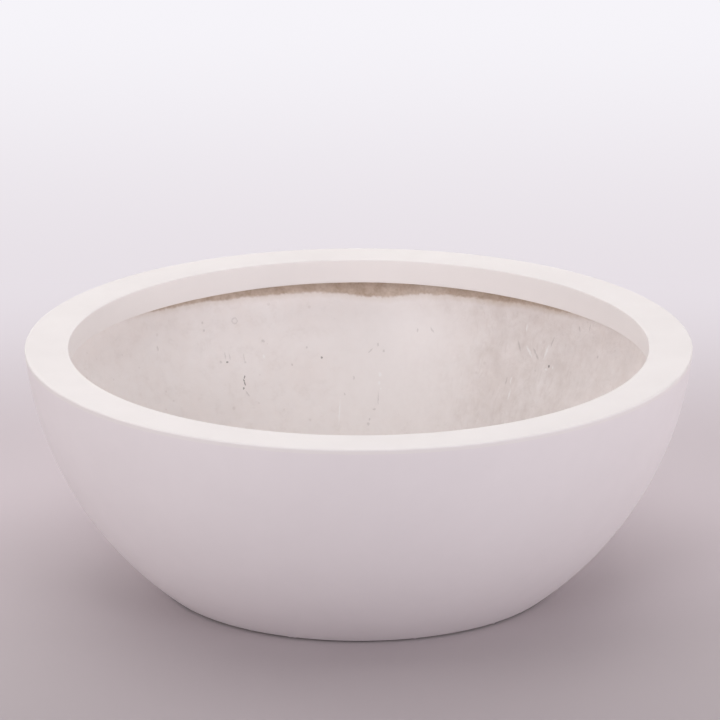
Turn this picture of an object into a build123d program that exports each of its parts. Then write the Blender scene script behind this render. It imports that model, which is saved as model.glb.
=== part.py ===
"""A round, low bowl planter in glass-fibre laminate.

The bowl's wall is one circular arc swung round the vertical axis. A flat rim ring, with a lip that
turns down inside the mouth, lies on the wall's top edge and is bonded there from inside. The flat
base stands on rubber pads and drains through one hole in its middle, which a rubber plug closes.
All sizes are in millimetres. The origin is on the ground, under the middle of the bowl, and +Z
points up. Diameters and heights are those of the sharp corners, before the edges are rounded.
"""
from build123d import *
import math
import os

# The bowl's outline
outer_diameter = 762.0
overall_height = 279.0
base_diameter = 460.0
wall_arc_radius = 402.0
base_edge_radius = 1.0

# The laminate shell
wall_thickness = 6.0
base_thickness = 8.0
floor_corner_radius = 25.0

# The rim ring and its turned-down lip
rim_width = 50.0
rim_thickness = 6.0
rim_outer_edge_radius = 2.0
rim_inner_edge_radius = 1.5
lip_depth = 30.0
lip_thickness = 5.0
lip_edge_radius = 1.5
lip_root_radius = 4.0

# The putty bead that bonds the ring to the wall, in the corner between them
bead_leg = 18.0
bead_hollow = 3.5

# The extra laminate round the drilled hole, with its edge rolled down to a slope
doubler_diameter = 220.0
doubler_thickness = 4.0
doubler_slope_width = 8.0

# The drain hole and its rubber plug
drain_diameter = 25.0
plug_clearance = 0.1
plug_taper_deg = 3.0
plug_tip_recess = 1.0
plug_tip_chamfer = 1.5
plug_flange_diameter = 40.0
plug_flange_thickness = 3.0
plug_flange_edge_radius = 1.0
knob_diameter = 18.0
knob_waist_diameter = 11.0
knob_waist_height = 5.0
knob_head_height = 7.0
knob_edge_radius = 1.5

# The rubber pads under the base
pad_count = 4
pad_diameter = 38.0
pad_thickness = 2.5
pad_inset = 16.0
pad_edge_radius = 0.6
first_pad_angle_deg = 45.0

# The most of a side that one rounded corner may take, so that two always fit
corner_share = 0.45

# Heights and radii that follow from those sizes
outer_radius = outer_diameter / 2
base_radius = base_diameter / 2
mouth_radius = outer_radius - rim_width
drain_radius = drain_diameter / 2
underside_height = pad_thickness
floor_height = underside_height + base_thickness
doubler_top_height = floor_height + doubler_thickness
joint_height = overall_height - rim_thickness


def arc_centre():
    """The wall arc's centre as (radius, height), for an arc from the rim's edge to the base's edge."""
    run = base_radius - outer_radius
    drop = underside_height - overall_height
    chord = math.hypot(run, drop)
    reach = math.sqrt(wall_arc_radius**2 - (chord / 2) ** 2)
    middle_radius = (outer_radius + base_radius) / 2
    middle_height = (overall_height + underside_height) / 2
    return middle_radius + reach * drop / chord, middle_height - reach * run / chord


def wall_radius(height, depth=0.0):
    """The wall's radius at a height, on the surface that lies depth inside the outer face."""
    centre_radius, centre_height = arc_centre()
    return centre_radius + math.sqrt((wall_arc_radius - depth) ** 2 - (height - centre_height) ** 2)


def wall_arc(low, high, depth=0.0):
    """The wall's section line between two heights, as an arc in the (radius, height) plane."""
    half_way = (low + high) / 2
    return ThreePointArc(
        (wall_radius(low, depth), low),
        (wall_radius(half_way, depth), half_way),
        (wall_radius(high, depth), high),
    )


def round_corner(section, corner, radius, *sides):
    """The section with its corner nearest to a point rounded, as far as the sides beside it allow."""
    nearest = min(section.vertices(), key=lambda v: (Vector(v.X, v.Y) - Vector(*corner)).length)
    return fillet(nearest, min(radius, *(corner_share * side for side in sides)))


def swing(section):
    """A section drawn as (radius, height), swung once round the vertical axis."""
    return revolve(Plane.XZ * section, Axis.Z)


def bowl_shell():
    """The laminate bowl: curved wall, flat base and the drilled drain hole, open at the top."""
    inner_foot = wall_radius(floor_height, wall_thickness)
    section = make_face(
        [
            Line((drain_radius, underside_height), (base_radius, underside_height)),
            wall_arc(underside_height, joint_height),
            Line(
                (wall_radius(joint_height), joint_height),
                (wall_radius(joint_height, wall_thickness), joint_height),
            ),
            wall_arc(joint_height, floor_height, wall_thickness),
            Line((inner_foot, floor_height), (drain_radius, floor_height)),
            Line((drain_radius, floor_height), (drain_radius, underside_height)),
        ]
    )
    section = round_corner(section, (base_radius, underside_height), base_edge_radius, base_thickness)
    section = round_corner(section, (inner_foot, floor_height), floor_corner_radius, base_radius)
    return swing(section)


def rim_ring():
    """The flat rim and its lip in one L-shaped ring, flush with the wall's outer face."""
    lip_bottom = overall_height - lip_depth
    lip_back = mouth_radius + lip_thickness
    section = make_face(
        [
            wall_arc(joint_height, overall_height),
            Line((outer_radius, overall_height), (mouth_radius, overall_height)),
            Line((mouth_radius, overall_height), (mouth_radius, lip_bottom)),
            Line((mouth_radius, lip_bottom), (lip_back, lip_bottom)),
            Line((lip_back, lip_bottom), (lip_back, joint_height)),
            Line((lip_back, joint_height), (wall_radius(joint_height), joint_height)),
        ]
    )
    corners = [
        ((outer_radius, overall_height), rim_outer_edge_radius, rim_thickness),
        ((mouth_radius, overall_height), rim_inner_edge_radius, lip_thickness),
        ((mouth_radius, lip_bottom), lip_edge_radius, lip_thickness),
        ((lip_back, lip_bottom), lip_edge_radius, lip_thickness),
        ((lip_back, joint_height), lip_root_radius, lip_depth - rim_thickness),
    ]
    for corner, radius, side in corners:
        section = round_corner(section, corner, radius, side)
    return swing(section)


def rim_bond_bead():
    """The ring of putty and glass in the corner under the rim, with a hollow face."""
    corner = Vector(wall_radius(joint_height, wall_thickness), joint_height)
    along_rim = Vector(corner.X - bead_leg, joint_height)
    down_wall_height = joint_height - bead_leg
    down_wall = Vector(wall_radius(down_wall_height, wall_thickness), down_wall_height)
    middle = (along_rim + down_wall) / 2
    hollow = middle + (corner - middle).normalized() * bead_hollow
    section = make_face(
        [
            Line(corner, along_rim),
            ThreePointArc(along_rim, hollow, down_wall),
            wall_arc(down_wall_height, joint_height, wall_thickness),
        ]
    )
    return swing(section)


def base_doubler():
    """The disc of extra laminate on the bowl's floor, with the drain hole through it."""
    foot_radius = doubler_diameter / 2
    section = make_face(
        Polyline(
            (drain_radius, floor_height),
            (foot_radius, floor_height),
            (foot_radius - doubler_slope_width, doubler_top_height),
            (drain_radius, doubler_top_height),
            close=True,
        )
    )
    return swing(section)


def drain_plug():
    """The rubber plug: a tapered stopper, a flange that lies on the doubler and a knob to pull."""
    stopper_top = drain_radius - plug_clearance
    tip_height = underside_height + plug_tip_recess
    stopper_length = doubler_top_height - tip_height
    stopper_tip = stopper_top - stopper_length * math.tan(math.radians(plug_taper_deg))
    flange_radius = plug_flange_diameter / 2
    flange_top = doubler_top_height + plug_flange_thickness
    waist_radius = knob_waist_diameter / 2
    head_radius = knob_diameter / 2
    head_bottom = flange_top + knob_waist_height
    head_top = head_bottom + knob_head_height
    section = make_face(
        Polyline(
            (0, tip_height),
            (stopper_tip - plug_tip_chamfer, tip_height),
            (stopper_tip, tip_height + plug_tip_chamfer),
            (stopper_top, doubler_top_height),
            (flange_radius, doubler_top_height),
            (flange_radius, flange_top),
            (waist_radius, flange_top),
            (waist_radius, head_bottom),
            (head_radius, head_bottom),
            (head_radius, head_top),
            (0, head_top),
            close=True,
        )
    )
    flange_corner = (flange_radius, flange_top)
    section = round_corner(section, flange_corner, plug_flange_edge_radius, plug_flange_thickness)
    knob_sides = (knob_waist_height, knob_head_height, head_radius - waist_radius)
    knob_corners = [
        (waist_radius, flange_top),
        (waist_radius, head_bottom),
        (head_radius, head_bottom),
        (head_radius, head_top),
    ]
    for corner in knob_corners:
        section = round_corner(section, corner, knob_edge_radius, *knob_sides)
    return swing(section)


def foot_pad(number):
    """One rubber pad, stuck to the underside just inside the base's edge."""
    pad_radius = pad_diameter / 2
    reach = base_radius - pad_inset - pad_radius
    angle = first_pad_angle_deg + number * 360 / pad_count
    pad = Cylinder(pad_radius, pad_thickness, align=(Align.CENTER, Align.CENTER, Align.MIN))
    bottom_edge = pad.edges().group_by(Axis.Z)[0]
    pad = fillet(bottom_edge, min(pad_edge_radius, corner_share * pad_thickness))
    return Rot(0, 0, angle) * Pos(reach, 0, 0) * pad


def main():
    """Makes every piece and writes it under its own name."""
    pieces = {
        "bowl_shell": bowl_shell(),
        "rim_ring": rim_ring(),
        "rim_bond_bead": rim_bond_bead(),
        "base_doubler": base_doubler(),
        "drain_plug": drain_plug(),
    }
    for number in range(pad_count):
        pieces[f"foot_pad_{number + 1}"] = foot_pad(number)
    os.makedirs("parts", exist_ok=True)
    for name, piece in pieces.items():
        export_step(piece, f"parts/{name}.step")


main()
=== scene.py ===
# %% [markdown]
# # A round planter bowl in glass-fibre laminate
#
# The real object is two mouldings bonded together: a bowl, and a flat rim ring whose inner lip
# turns down into the mouth. Outside it is smooth satin white. Inside it is what a laminator leaves
# behind: brushed coat over glass mat, with pinholes, runs and a raw brown band under the lip, where
# the spray didn't reach. This lesson loads the exact model, puts a finer surface in each piece's
# place, and gives every surface its finish.

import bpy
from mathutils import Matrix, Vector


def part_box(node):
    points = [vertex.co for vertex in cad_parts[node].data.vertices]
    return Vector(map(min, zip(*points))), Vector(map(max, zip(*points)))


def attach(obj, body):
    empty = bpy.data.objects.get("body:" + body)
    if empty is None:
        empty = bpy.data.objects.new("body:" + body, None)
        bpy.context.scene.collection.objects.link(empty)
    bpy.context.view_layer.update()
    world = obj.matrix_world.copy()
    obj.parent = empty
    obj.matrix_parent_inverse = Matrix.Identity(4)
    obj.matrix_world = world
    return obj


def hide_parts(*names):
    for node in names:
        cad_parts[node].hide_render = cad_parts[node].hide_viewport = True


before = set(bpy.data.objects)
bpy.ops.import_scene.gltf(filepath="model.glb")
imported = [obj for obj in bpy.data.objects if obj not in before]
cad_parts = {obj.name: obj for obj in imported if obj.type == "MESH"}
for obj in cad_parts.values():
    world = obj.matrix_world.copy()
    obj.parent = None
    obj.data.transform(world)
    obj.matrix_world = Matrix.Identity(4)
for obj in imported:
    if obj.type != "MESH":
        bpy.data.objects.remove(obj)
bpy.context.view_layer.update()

# %% Tools
import math
from itertools import product

import bpy
import numpy as np
from mathutils import Vector

# %% [markdown]
# ## The sizes
#
# Everything is in metres. The loaded model's boxes give the heights of the pieces and the joint
# between the two mouldings. The section of the wall can't be read from a box, so its few sizes are
# written once here, as the maker's drawing would give them, and every piece below uses them.

# %% Sizes from the model, and the section's own
MM = 0.001
ring_low, ring_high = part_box("rim_ring")
shell_low, shell_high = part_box("bowl_shell")
doubler_low, doubler_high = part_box("base_doubler")
plug_low, plug_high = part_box("drain_plug")

rim_height = ring_high.z
joint_height = shell_high.z
lip_bottom = ring_low.z
underside = shell_low.z
floor_height = doubler_low.z
doubler_top = doubler_high.z

rim_radius = 381 * MM
base_radius = 230 * MM
wall_arc_radius = 402 * MM
wall_thickness = 6 * MM
skin_thickness = 3 * MM
mouth_radius = 331 * MM
lip_thickness = 5 * MM
drain_radius = 12.5 * MM
floor_corner = 25 * MM
print("rim at", round(rim_height, 4), "joint at", round(joint_height, 4))

# %% [markdown]
# ## The wall's arc
#
# The section of the wall is one circular arc from the rim's edge to the base's edge. Its centre
# follows from those two points and the radius: half the chord and the radius are two sides of a
# right-angled triangle. A Bezier curve could be bent to look the same, but the arc is what the
# mould was turned to, and one formula then gives the outside, the inside and every edge between.

# %% The arc's centre and the radius at a height
chord = np.array([base_radius - rim_radius, underside - rim_height])
chord_length = np.hypot(*chord)
arc_middle = np.array([rim_radius + base_radius, rim_height + underside]) / 2
reach = math.sqrt(wall_arc_radius**2 - (chord_length / 2) ** 2)
arc_centre = arc_middle + reach * np.array([chord[1], -chord[0]]) / chord_length


def wall_radius(height, depth=0.0):
    """Centre radius plus the root of (arc radius less depth) squared less the height squared."""
    drop = np.asarray(height) - arc_centre[1]
    return arc_centre[0] + np.sqrt((wall_arc_radius - depth) ** 2 - drop**2)


print("arc centre at", np.round(arc_centre, 4))

# %% [markdown]
# ## Profiles
#
# Each piece here is a profile swung round the vertical axis, so the profile is the drawing. It is
# made of runs: straight lines, stretches of the wall's arc and rounded corners. A run leaves out
# its last point, because the next run starts there, and then closed loops close by themselves.
# All loops go anticlockwise with the radius to the right and the height up, so that the outside
# of the surface is always on the right hand of the path.


# %% Runs that profiles are made of
def straight(start, end, count):
    """Points from start towards end at even steps; each is start plus a share of the way."""
    share = np.linspace(0, 1, count, endpoint=False)[:, None]
    return np.array(start) + share * (np.array(end) - np.array(start))


def wall_run(low, high, depth, count):
    """Points on the wall's arc from one height towards another, at even angles from its centre."""
    radius = wall_arc_radius - depth
    first, last = (math.asin((h - arc_centre[1]) / radius) for h in (low, high))
    angle = np.linspace(first, last, count, endpoint=False)
    return arc_centre + radius * np.stack([np.cos(angle), np.sin(angle)], axis=1)


def bend(before, corner, after, radius, count=6):
    """A rounded corner: the arc that touches both sides, radius / tan(half the corner) from it."""
    before, corner, after = (np.array(p, float) for p in (before, corner, after))
    to_before = (before - corner) / np.linalg.norm(before - corner)
    to_after = (after - corner) / np.linalg.norm(after - corner)
    half = math.acos(np.clip(to_before @ to_after, -1, 1)) / 2
    middle = (to_before + to_after) / np.linalg.norm(to_before + to_after)
    centre = corner + middle * radius / math.sin(half)
    start = corner + to_before * radius / math.tan(half) - centre
    end = corner + to_after * radius / math.tan(half) - centre
    sweep = math.atan2(start[0] * end[1] - start[1] * end[0], start @ end)
    angle = np.linspace(0, sweep, count)
    cosine, sine = np.cos(angle), np.sin(angle)
    turned = np.stack([start[0] * cosine - start[1] * sine, start[0] * sine + start[1] * cosine], axis=1)
    return centre + turned


# %% [markdown]
# ## Swinging a profile
#
# Blender's Screw modifier can swing a profile too. Here numpy does it, because the surface is then
# an ordinary grid: rows run along the profile, columns run round the bowl, and any roughness is one
# more array added along the surface's normal. Columns may be closer together where more detail is
# wanted. A bearing of 0 is the back of the bowl, and it grows to the right.


# %% A grid from a profile, and a mesh from a grid
def bearings(fine_half_angle, fine_count, coarse_count):
    """Bearings in radians once round: fine steps either side of the back, coarse steps elsewhere."""
    fine = np.linspace(-fine_half_angle, fine_half_angle, fine_count)
    coarse = np.linspace(fine_half_angle, 360 - fine_half_angle, coarse_count + 2)[1:-1]
    return np.radians(np.concatenate([fine, coarse]))


def all_round(columns):
    """Bearings in radians once round, all at the same step."""
    return bearings(180 - 180 / columns, columns, 0)


def profile_normals(profile, closed):
    """The outward normal at each profile point: the path's direction turned a quarter clockwise."""
    if closed:
        along = np.roll(profile, -1, axis=0) - np.roll(profile, 1, axis=0)
    else:
        along = np.gradient(profile, axis=0)
    along /= np.linalg.norm(along, axis=1, keepdims=True)
    return np.stack([along[:, 1], -along[:, 0]], axis=1)


def swing(profile, around):
    """Grid point (row, column) = (radius sin bearing, radius cos bearing, height)."""
    radius, height = profile[:, :1], profile[:, 1:]
    flat = np.ones_like(around)
    return np.stack([radius * np.sin(around), radius * np.cos(around), height * flat], axis=2)


def grid_faces(rows, columns, closed):
    """Quads between neighbouring rows and columns; columns always wrap, rows wrap on a closed loop."""
    row = np.arange(rows if closed else rows - 1)[:, None]
    column = np.arange(columns)[None, :]
    next_row, next_column = (row + 1) % rows, (column + 1) % columns
    corners = [(row, column), (next_row, column), (next_row, next_column), (row, next_column)]
    return np.stack([a * columns + b + 0 * (row + column) for a, b in corners], axis=2).reshape(-1, 4)


def turned_piece(name, profile, around, closed=True, relief=None, sharp_angle=32.0):
    """Makes a piece from a swung profile, moved by relief(grid, around) along its normal.

    An open profile starts and ends on the axis, where each end row becomes one point.
    """
    grid = swing(profile, around)
    if relief is not None:
        normal = swing(profile_normals(profile, closed), around)
        grid = grid + normal * relief(grid, around)[:, :, None]
    rows, columns = grid.shape[:2]
    faces = grid_faces(rows, columns, closed).tolist()
    points = grid.reshape(-1, 3)
    if not closed:
        first_row, last_row = np.arange(columns), np.arange(columns) + (rows - 1) * columns
        poles = np.array([[0, 0, points[first_row, 2].mean()], [0, 0, points[last_row, 2].mean()]])
        low, high = len(points), len(points) + 1
        points = np.concatenate([points, poles])
        ring = np.arange(columns)
        following = (ring + 1) % columns
        faces += np.stack([first_row[ring], first_row[following], np.full(columns, low)], axis=1).tolist()
        faces += np.stack([last_row[following], last_row[ring], np.full(columns, high)], axis=1).tolist()
    mesh = bpy.data.meshes.new(name)
    mesh.from_pydata(points.tolist(), [], faces)
    mesh.polygons.foreach_set("use_smooth", np.ones(len(mesh.polygons), bool))
    mesh.set_sharp_from_angle(angle=math.radians(sharp_angle))
    mesh.update()
    piece = bpy.data.objects.new(name, mesh)
    bpy.context.scene.collection.objects.link(piece)
    triangles = sum(len(face.vertices) - 2 for face in mesh.polygons)
    print(name, "rows", rows, "columns", columns, "triangles", triangles)
    return piece


# %% [markdown]
# ## Roughness as numbers
#
# Hand-laid laminate is lumpy at several sizes at once. The classic recipe for that is value noise:
# a random number at each corner of a grid of cubes, blended smoothly inside each cube, and a few
# of those grids added up at smaller and smaller sizes. Because it lives in space and not on the
# mesh, it has no seam where the last column meets the first. The random numbers come from a hash
# of the corner's whole-number place, so every run gives the same bowl.


# %% Value noise
def corner_number(corner, seed):
    """A fixed random number, -1 to 1, for each whole-number corner: its bits mixed by multiplying."""
    mixed = corner[..., 0] * 73856093 ^ corner[..., 1] * 19349663 ^ corner[..., 2] * 83492791
    mixed = (mixed ^ seed * 2654435761) & 0xFFFFFFFF
    mixed = ((mixed ^ mixed >> 15) * 2246822519) & 0xFFFFFFFF
    mixed = ((mixed ^ mixed >> 13) * 3266489917) & 0xFFFFFFFF
    return (mixed ^ mixed >> 16) / 0x7FFFFFFF - 1


def lumps(points, cell, seed):
    """Value noise, -1 to 1: corner numbers blended by the smooth step 6t^5 - 15t^4 + 10t^3."""
    place = points / np.asarray(cell)
    corner = np.floor(place).astype(np.int64)
    share = place - corner
    share = share**3 * (share * (share * 6 - 15) + 10)
    total = np.zeros(points.shape[:-1])
    for step in product((0, 1), repeat=3):
        weight = np.prod(np.where(np.array(step) == 1, share, 1 - share), axis=-1)
        total += weight * corner_number(corner + np.array(step), seed)
    return total


def rough(points, cell, seed, octaves=3):
    """Lumps at halving sizes and halving heights, added up."""
    cell = np.asarray(cell, float)
    return sum(lumps(points, cell / 2**n, seed + n) / 2**n for n in range(octaves))


def soft_step(value, low, high):
    """0 below low, 1 above high, and 3t^2 - 2t^3 between them."""
    share = np.clip((value - low) / (high - low), 0, 1)
    return share**2 * (3 - 2 * share)


def hump(value, centre, width):
    """A bell curve: e to the minus (distance over width) squared."""
    return np.exp(-(((value - centre) / width) ** 2))


def keep_on_mesh(piece, name, values):
    """Stores one number per vertex as an attribute that a material can read."""
    attribute = piece.data.attributes.new(name, "FLOAT", "POINT")
    attribute.data.foreach_set("value", np.asarray(values, np.float32).ravel())


def keep_place_on_mesh(piece, name, places):
    """Stores one (x, y, z) per vertex as an attribute that a material can read."""
    attribute = piece.data.attributes.new(name, "FLOAT_VECTOR", "POINT")
    attribute.data.foreach_set("vector", np.asarray(places, np.float32).ravel())


# %% [markdown]
# ## The moulded skin
#
# The outside came out of a polished mould, so it is almost perfect: the hand-finished mould left a
# waviness of a tenth of a millimetre, far below what the eye measures and just what it reads as a
# real surface. The base's edge was trimmed by hand and has a few paint nibs. The skin is the outer
# half of the wall and stands for the bowl, together with the inside coat below.

# %% Build the moulded skin
skin_columns = 960
# Each nib is a bearing in degrees and its height in millimetres.
nibs = [(-160.5, 0.9), (-161.8, 0.7), (164.1, 1.0), (138.6, 1.1), (-148.2, 0.6)]
nib_width = 1.6 * MM
mould_wave = 0.16 * MM
joint_fade = 12 * MM


def skin_relief(grid, around):
    """Slow waves from the mould on the outer face, and bell-shaped nibs on the base's edge."""
    height = grid[:, :, 2]
    radius = np.hypot(grid[:, :, 0], grid[:, :, 1])
    outer = soft_step(radius, wall_radius(height, 2 * MM), wall_radius(height, 1 * MM))
    below_joint = soft_step(height, joint_height, joint_height - joint_fade)
    wave = mould_wave * (rough(grid, 90 * MM, 11, 2) - 1.5) / 2 * outer * below_joint
    for bearing, tall in nibs:
        away = (np.degrees(around) - bearing + 180) % 360 - 180
        beside = hump(np.radians(away) * base_radius, 0, nib_width)
        nib = beside * hump(height, underside + 1 * MM, nib_width)
        wave = wave + nib * tall * MM * outer
    return wave


hidden_foot = (float(wall_radius(underside + skin_thickness, skin_thickness)), underside + skin_thickness)
edge_of_base = (base_radius, underside)
above_edge = (float(wall_radius(underside + 5 * MM)), underside + 5 * MM)
skin_profile = np.concatenate(
    [
        straight((drain_radius, underside), (base_radius - 4 * MM, underside), 10),
        bend((0, underside), edge_of_base, above_edge, 1 * MM),
        wall_run(underside + 4 * MM, joint_height, 0, 46),
        straight(
            (wall_radius(joint_height), joint_height),
            (wall_radius(joint_height, skin_thickness), joint_height),
            1,
        ),
        wall_run(joint_height, hidden_foot[1], skin_thickness, 20),
        straight(hidden_foot, (drain_radius, hidden_foot[1]), 4),
        straight((drain_radius, hidden_foot[1]), (drain_radius, underside), 2),
    ]
)
skin = turned_piece("moulded_skin", skin_profile, all_round(skin_columns), relief=skin_relief)

# %% [markdown]
# ## The inside coat
#
# The inner face was rolled, brushed and trowelled by hand. Three sizes of roughness make it: broad
# unevenness where mats overlap, lumps of a fingertip's size, and vertical brush strokes, which are
# strongest on the right, where the brush was drier. The visible back wall gets closer rows and
# columns than the rest. Each vertex also keeps five things for the material: its place on the
# unrolled wall, the same place pushed along the brush's path, how far it lies above the coat's
# edge, how dry the brush was, and where a trowel smoothed the coat, which the material also
# brightens there as a painted highlight.

# %% Places on the inside
coat_edge_height = 229 * MM
coat_edge_dip = 6.5 * MM
# Each climb is its rise, and the bearings in degrees between which it happens.
coat_edge_climbs = [(2.6 * MM, 24, 35), (12 * MM, 38, 60)]
# Each dry spot is its strength, its bearing and width in degrees, and its height and reach in
# millimetres.
dry_spots = [(1.0, 33, 9, 188, 34), (1.0, 36, 15, 125, 48), (0.6, 19, 8, 216, 12)]
dry_traces = 0.12
unroll_radius = 350 * MM
brush_wander = 13 * MM
brush_wander_size = 38 * MM
seen_low, seen_high = 74 * MM, 242 * MM
deepest = 2.2 * MM

corner_height = floor_height + floor_corner
inner_arc = wall_arc_radius - wall_thickness
corner_centre = np.array(
    [
        arc_centre[0] + math.sqrt((inner_arc - floor_corner) ** 2 - (corner_height - arc_centre[1]) ** 2),
        corner_height,
    ]
)
toward = (corner_centre - arc_centre) / np.linalg.norm(corner_centre - arc_centre)
wall_foot = arc_centre + toward * inner_arc
corner_start = math.atan2(toward[1], toward[0])
corner_angles = np.linspace(corner_start, -math.pi / 2, 9, endpoint=False)
corner_run = corner_centre + floor_corner * np.stack([np.cos(corner_angles), np.sin(corner_angles)], axis=1)

inside_profile = np.concatenate(
    [
        straight((drain_radius, hidden_foot[1]), hidden_foot, 3),
        wall_run(hidden_foot[1], joint_height, skin_thickness, 24),
        straight(
            (wall_radius(joint_height, skin_thickness), joint_height),
            (wall_radius(joint_height, wall_thickness), joint_height),
            1,
        ),
        wall_run(joint_height, seen_high, wall_thickness, 8),
        wall_run(seen_high, seen_low, wall_thickness, 88),
        wall_run(seen_low, wall_foot[1], wall_thickness, 8),
        corner_run,
        straight((corner_centre[0], floor_height), (drain_radius, floor_height), 14),
        straight((drain_radius, floor_height), (drain_radius, hidden_foot[1]), 2),
    ]
)
around_inside = bearings(62, 380, 220)


# %% Relief of the inside coat
def from_back(around):
    """Bearings in degrees, -180 to 180, with 0 at the back of the bowl."""
    return (np.degrees(around) + 180) % 360 - 180


def coat_edge(around):
    """Height of the coat's upper edge: level, with a dip behind the middle, and higher at the sides."""
    bearing = from_back(around)
    climb = sum(rise * soft_step(np.abs(bearing), low, high) for rise, low, high in coat_edge_climbs)
    return coat_edge_height - coat_edge_dip * hump(bearing, 3.5, 6.5) + climb


def dry_brush(around, height):
    """How much the brush strokes show, 0 to 1: patches on the right and in front, traces elsewhere."""
    bearing = from_back(around)
    patches = sum(
        strength * hump(bearing, middle, wide) * hump(height, level * MM, tall * MM)
        for strength, middle, wide, level, tall in dry_spots
    )
    right_band = 0.5 * soft_step(bearing, 20, 28) * soft_step(bearing, 80, 60)
    front = 0.5 * soft_step(np.abs(bearing), 70, 115)
    return np.clip(patches + right_band + front + dry_traces, 0, 1)


def trowelled_highlight(around, height):
    """Where a trowel smoothed the coat, 0 to 1: one tall patch just right of the middle; the material also
    brightens it as a painted highlight.
    """
    bearing = from_back(around)
    return soft_step(bearing, -12, 2) * soft_step(bearing, 24, 13) * soft_step(height, 70 * MM, 115 * MM)


def unrolled(grid):
    """The bearing at a fixed radius, and the height; on the floor that radius shrinks with the true one."""
    bearing = np.arctan2(grid[:, :, 0], grid[:, :, 1])
    inward = np.maximum(corner_centre[0] - np.hypot(grid[:, :, 0], grid[:, :, 1]), 0)
    radius = unroll_radius - inward
    return np.stack([radius * np.sin(bearing), radius * np.cos(bearing), grid[:, :, 2]], axis=2)


def along_brush(place):
    """The unrolled place pushed sideways by slow noise, so that strokes drawn in it wander."""
    sideways = brush_wander * rough(place, brush_wander_size, 23, 2)
    bent = place.copy()
    bent[:, :, :2] += sideways[:, :, None]
    return bent


def on_inner_face(profile):
    """1 on the rows of the inner wall and floor, 0 on the hidden side and at the joint and the hole."""
    radius, height = profile[:, 0], profile[:, 1]
    hidden = (radius > wall_radius(height, wall_thickness - 1 * MM)) | (height < floor_height - 1 * MM)
    from_joint = soft_step(height, joint_height, joint_height - 10 * MM)
    from_hole = soft_step(radius, drain_radius, drain_radius + 14 * MM)
    return np.where(hidden, 0.0, from_joint * from_hole)


def inside_relief(grid, around):
    """Broad lumps, fingertip lumps and brush strokes added up, on the inner face alone."""
    place = unrolled(grid)
    stroke_place = along_brush(place)
    height = grid[:, :, 2]
    radius = np.hypot(grid[:, :, 0], grid[:, :, 1])
    dry = dry_brush(around, height)
    plain = 1 - 0.75 * trowelled_highlight(around, height)
    broad = 1.1 * MM * rough(place, 80 * MM, 21, 2)
    small = 0.34 * MM * rough(place, 15 * MM, 31, 2) * plain
    strokes = 0.30 * MM * rough(stroke_place, (9 * MM, 9 * MM, 40 * MM), 41, 2) * dry
    creases = 0.34 * MM * (1 - np.abs(lumps(stroke_place, (15 * MM, 15 * MM, 34 * MM), 45))) ** 6 * dry
    raw = soft_step(height, coat_edge(around), coat_edge(around) + 5 * MM)
    raw_lumps = 0.5 * MM * rough(place, 9 * MM, 51, 2) * raw
    beyond_doubler = soft_step(radius, doubler_high.x - 4 * MM, doubler_high.x + 18 * MM)
    relief = (broad + small + strokes + creases + raw_lumps) * beyond_doubler
    relief = deepest * np.tanh(relief / deepest)
    return relief * on_inner_face(inside_profile)[:, None]


inside = turned_piece("inside_coat", inside_profile, around_inside, relief=inside_relief)
inside_grid = swing(inside_profile, around_inside)
inside_place = unrolled(inside_grid)
inside_height = inside_grid[:, :, 2]
keep_place_on_mesh(inside, "unrolled", inside_place)
keep_place_on_mesh(inside, "along_brush", along_brush(inside_place))
keep_on_mesh(inside, "above_coat", (inside_height - coat_edge(around_inside)) / MM)
keep_on_mesh(inside, "dry_brush", dry_brush(around_inside, inside_height))
keep_on_mesh(inside, "trowelled_highlight", trowelled_highlight(around_inside, inside_height))

# %% [markdown]
# ## The rim ring
#
# The ring is flat on top, rounds over to meet the wall flush, and turns down into the mouth as a
# lip. Its visible faces came off a mould. The lip's lower edge was trimmed by hand, so its depth
# changes by a millimetre or so round the mouth: that is one cosine with four waves to the turn.
# Below and behind, the ring is as raw as it came off the bench.

# %% Build the rim ring
lip_back = mouth_radius + lip_thickness
trim_wave = 1.3 * MM
under_ring = wall_radius(joint_height, wall_thickness)
top_of_wall = (float(wall_radius(rim_height - 5 * MM)), rim_height - 5 * MM)
ring_profile = np.concatenate(
    [
        wall_run(joint_height, rim_height - 3 * MM, 0, 3),
        bend(top_of_wall, (rim_radius, rim_height), (mouth_radius, rim_height), 2 * MM, 9),
        straight((rim_radius - 4 * MM, rim_height), (mouth_radius + 3 * MM, rim_height), 14),
        bend((rim_radius, rim_height), (mouth_radius, rim_height), (mouth_radius, lip_bottom), 1.5 * MM, 8),
        straight((mouth_radius, rim_height - 3 * MM), (mouth_radius, lip_bottom + 3 * MM), 10),
        bend((mouth_radius, rim_height), (mouth_radius, lip_bottom), (lip_back, lip_bottom), 1.5 * MM, 7),
        bend((mouth_radius, lip_bottom), (lip_back, lip_bottom), (lip_back, joint_height), 1.5 * MM, 7),
        straight((lip_back, lip_bottom + 3 * MM), (lip_back, joint_height - 5 * MM), 7),
        bend((lip_back, lip_bottom), (lip_back, joint_height), (rim_radius, joint_height), 4 * MM, 7),
        straight((lip_back + 5 * MM, joint_height), (under_ring, joint_height), 8),
        straight((under_ring, joint_height), (wall_radius(joint_height), joint_height), 2),
    ]
)
around_ring = all_round(900)


def reshape_piece(piece, change):
    """Moves a piece's vertices to where change(points) puts them."""
    points = np.empty(len(piece.data.vertices) * 3)
    piece.data.vertices.foreach_get("co", points)
    piece.data.vertices.foreach_set("co", change(points.reshape(-1, 3)).ravel())
    piece.data.update()


def trimmed_lip(points):
    """The points with the lip's rows stretched or shortened by a four-wave cosine of the bearing."""
    radius = np.hypot(points[:, 0], points[:, 1])
    on_lip = soft_step(points[:, 2], rim_height - 8 * MM, lip_bottom) * (radius < lip_back + 1 * MM)
    moved = points.copy()
    moved[:, 2] += on_lip * trim_wave * np.cos(4 * np.tile(around_ring, len(ring_profile)))
    return moved


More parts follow.
